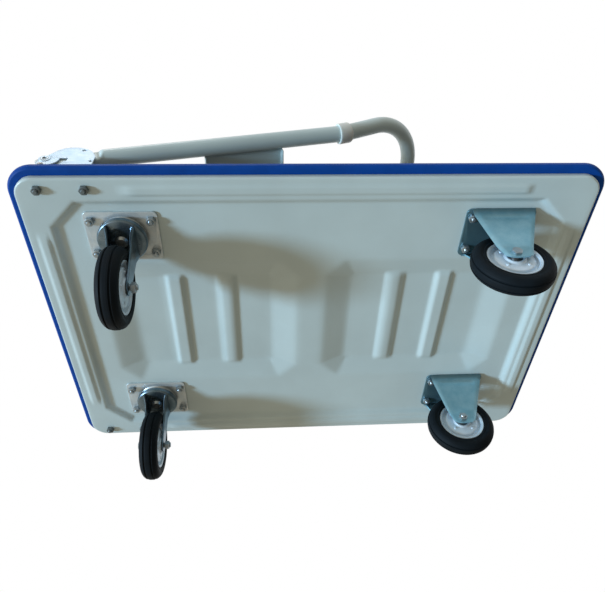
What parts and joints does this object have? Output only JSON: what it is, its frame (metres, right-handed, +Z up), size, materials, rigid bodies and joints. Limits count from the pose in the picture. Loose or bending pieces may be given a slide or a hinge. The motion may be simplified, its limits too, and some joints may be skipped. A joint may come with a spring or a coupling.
{
  "type": "folding platform cart",
  "caption": "Flatbed hand cart with a pressed steel deck, edge bumper, fold-down tube handle, swivel casters at the handle end and rigid casters at the other.",
  "frame": {"origin": "on the floor, under the middle of the deck", "axes": "+X along the deck towards the rigid casters, away from the handle's hinge; +Y to the left of someone pushing; +Z up"},
  "size_m": [0.906, 0.612, 0.4451],
  "materials": {
    "painted_steel": "semi-gloss pale grey-green enamel",
    "deck_mat": "matt ribbed anti-slip sheet",
    "bumper_blue": "satin soft PVC",
    "zinc_plate": "bright zinc plating with a faint blue passivation",
    "fastener_zinc": "bright zinc plating",
    "plain_steel": "oiled plain steel",
    "rim_steel": "silver-grey pressed steel",
    "tyre_rubber": "solid black rubber",
    "collar_plastic": "off-white moulded plastic",
    "ball_steel": "polished bearing steel"
  },
  "bodies": {
    "platform": {"deck_pan": "painted_steel", "deck_mat": "deck_mat", "edge_bumper": "bumper_blue", "hinge_supports": "plain_steel", "hinge_bolts": "fastener_zinc", "hinge_nuts": "fastener_zinc", "caster_bolts": "fastener_zinc", "caster_nuts": "fastener_zinc", "hinge_bracket_left": "zinc_plate", "pivot_rivet_left": "fastener_zinc", "swivel_plate_left": "zinc_plate", "kingpin_left": "plain_steel", "rigid_fork_left": "zinc_plate", "rigid_axle_left": "fastener_zinc", "rigid_axle_nut_left": "fastener_zinc", "rigid_bush_left": "plain_steel", "hinge_bracket_right": "zinc_plate", "pivot_rivet_right": "fastener_zinc", "swivel_plate_right": "zinc_plate", "kingpin_right": "plain_steel", "rigid_fork_right": "zinc_plate", "rigid_axle_right": "fastener_zinc", "rigid_axle_nut_right": "fastener_zinc", "rigid_bush_right": "plain_steel"},
    "handle": {"handle_loop": "painted_steel", "cross_plate": "painted_steel", "handle_lug_left": "zinc_plate", "handle_leg_left": "painted_steel", "joint_collar_left": "collar_plastic", "handle_lug_right": "zinc_plate", "handle_leg_right": "painted_steel", "joint_collar_right": "collar_plastic"},
    "lock": {"lock_bar": "zinc_plate", "lock_bar_clips": "plain_steel"},
    "swivel_left": {"swivel_balls_left": "ball_steel", "swivel_fork_left": "zinc_plate", "swivel_axle_left": "fastener_zinc", "swivel_axle_nut_left": "fastener_zinc", "swivel_bush_left": "plain_steel"},
    "swivel_wheel_left": {"swivel_bearing_left": "plain_steel", "swivel_rim_left": "rim_steel", "swivel_tyre_left": "tyre_rubber"},
    "rigid_wheel_left": {"rigid_bearing_left": "plain_steel", "rigid_rim_left": "rim_steel", "rigid_tyre_left": "tyre_rubber"},
    "swivel_right": {"swivel_balls_right": "ball_steel", "swivel_fork_right": "zinc_plate", "swivel_axle_right": "fastener_zinc", "swivel_axle_nut_right": "fastener_zinc", "swivel_bush_right": "plain_steel"},
    "swivel_wheel_right": {"swivel_bearing_right": "plain_steel", "swivel_rim_right": "rim_steel", "swivel_tyre_right": "tyre_rubber"},
    "rigid_wheel_right": {"rigid_bearing_right": "plain_steel", "rigid_rim_right": "rim_steel", "rigid_tyre_right": "tyre_rubber"}
  },
  "joints": [
    {"name": "handle_fold", "type": "hinge", "parent": "platform", "child": "handle", "pos_m": [-0.4155, 0, 0.2286], "axis": [0, -1, 0], "range_deg": [0, 80]},
    {"name": "lock_slide", "type": "slide", "parent": "handle", "child": "lock", "axis": [0.0872, 0, -0.9962], "range_m": [0, 0.003]},
    {"name": "swivel_turn_left", "type": "hinge", "parent": "platform", "child": "swivel_left", "pos_m": [-0.297, 0.191, 0.14], "axis": [0, 0, 1], "continuous": true},
    {"name": "swivel_wheel_spin_left", "type": "hinge", "parent": "swivel_left", "child": "swivel_wheel_left", "pos_m": [-0.297, 0.222, 0.0625], "axis": [1, 0, 0], "continuous": true},
    {"name": "rigid_wheel_spin_left", "type": "hinge", "parent": "platform", "child": "rigid_wheel_left", "pos_m": [0.292, 0.191, 0.0625], "axis": [0, 1, 0], "continuous": true},
    {"name": "swivel_turn_right", "type": "hinge", "parent": "platform", "child": "swivel_right", "pos_m": [-0.297, -0.191, 0.14], "axis": [0, 0, 1], "continuous": true},
    {"name": "swivel_wheel_spin_right", "type": "hinge", "parent": "swivel_right", "child": "swivel_wheel_right", "pos_m": [-0.297, -0.16, 0.0625], "axis": [1, 0, 0], "continuous": true},
    {"name": "rigid_wheel_spin_right", "type": "hinge", "parent": "platform", "child": "rigid_wheel_right", "pos_m": [0.292, -0.191, 0.0625], "axis": [0, 1, 0], "continuous": true}
  ]
}
